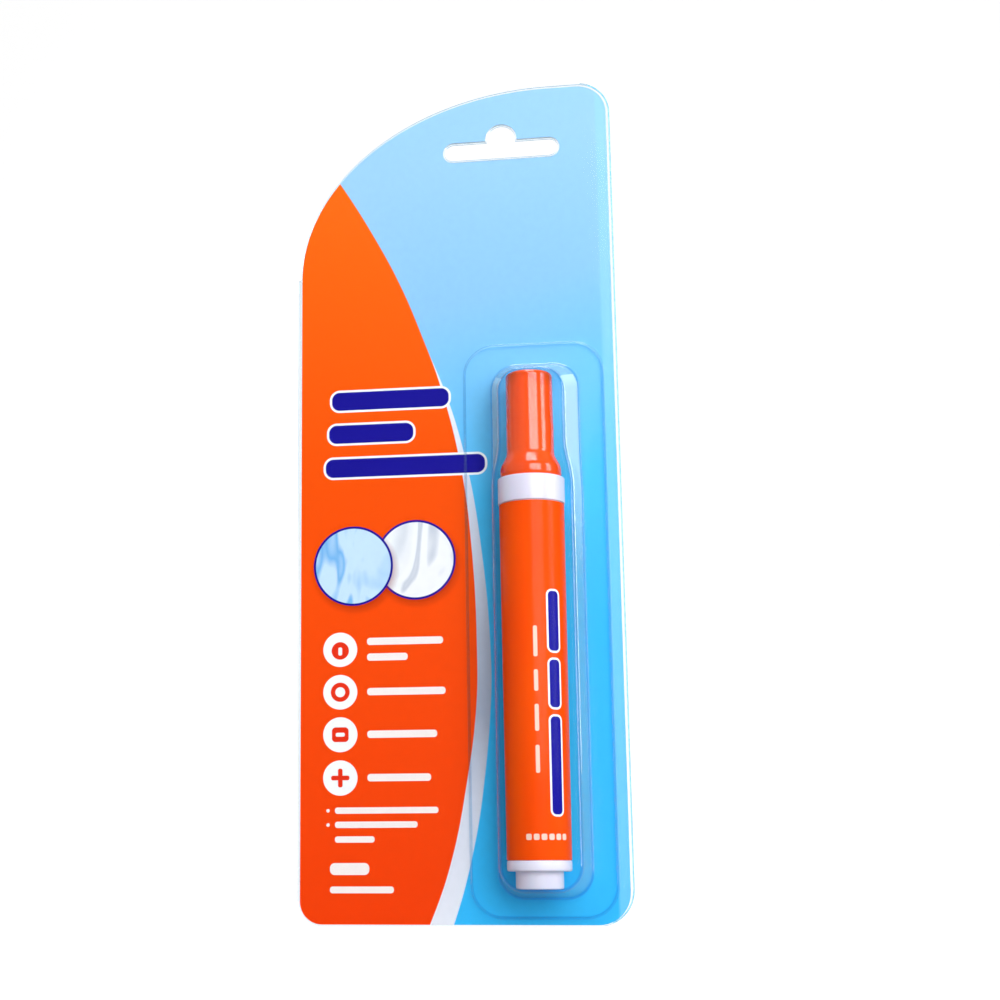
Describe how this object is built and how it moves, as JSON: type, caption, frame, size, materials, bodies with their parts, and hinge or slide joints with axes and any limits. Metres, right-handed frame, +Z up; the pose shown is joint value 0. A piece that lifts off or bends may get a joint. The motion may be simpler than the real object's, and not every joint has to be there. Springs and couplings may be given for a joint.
{
  "type": "stain remover pen",
  "caption": "Felt-tipped stain remover pen with a pull-off cap, lying in the raised bed of a clear hinged cover over a tall printed hang card with a slot for a peg.",
  "frame": {"origin": "centre of the round peg notch of the hang slot, on the front face of the printed card", "axes": "+Z up as the pack hangs, -Y out of the front of the pack towards the shopper, +X to the right as seen from the front"},
  "size_m": [0.0856, 0.0193, 0.224],
  "materials": {
    "clear_sheet": "clear thermoformed sheet, glossy, flat, folded round the card's left edge",
    "printed_card": "coated paperboard, printed sky blue, orange and silver",
    "white_plastic": "white moulded plastic, glossy",
    "orange_label": "orange printed film, glossy",
    "seal_rubber": "black rubber, matt",
    "inner_plastic": "natural moulded plastic, matt",
    "spring_steel": "drawn spring wire",
    "nib_felt": "pressed white felt",
    "orange_plastic": "orange moulded plastic, glossy"
  },
  "bodies": {
    "pack": {"rear_cover": "clear_sheet", "backing_card": "printed_card"},
    "cover": {"front_cover": "clear_sheet"},
    "pen": {"barrel": "white_plastic", "label_sleeve": "orange_label", "end_plug": "white_plastic", "plug_seal": "seal_rubber", "collar": "white_plastic", "collar_seal": "seal_rubber", "nose": "white_plastic", "valve_body": "inner_plastic", "valve_gasket": "seal_rubber", "spring_retainer": "inner_plastic", "valve_spring": "spring_steel"},
    "cap": {"cap_shell": "orange_plastic", "cap_liner": "white_plastic"},
    "tip": {"nib": "nib_felt", "valve_stem": "inner_plastic"}
  },
  "joints": [
    {"name": "cover_fold", "type": "hinge", "parent": "pack", "child": "cover", "pos_m": [-0.0554, -0.0002, -0.1204], "axis": [0, 0, -1], "range_deg": [0, 120]},
    {"name": "pen_lift", "type": "slide", "parent": "pack", "child": "pen", "axis": [0, -1, 0], "range_m": [0, 0.021]},
    {"name": "cap_pull", "type": "slide", "parent": "pen", "child": "cap", "axis": [0, 0, 1], "range_m": [0, 0.02]},
    {"name": "nib_press", "type": "slide", "parent": "pen", "child": "tip", "axis": [0, 0, -1], "range_m": [0, 0.0015], "stiffness_N_per_m": 150, "deforming": ["valve_spring"]}
  ],
  "couplings": [
    {"joint": "pen_lift", "follows": "cover_fold", "m_per_rad": 0.01},
    {"joint": "cap_pull", "follows": "cover_fold", "m_per_rad": 0.0095}
  ]
}
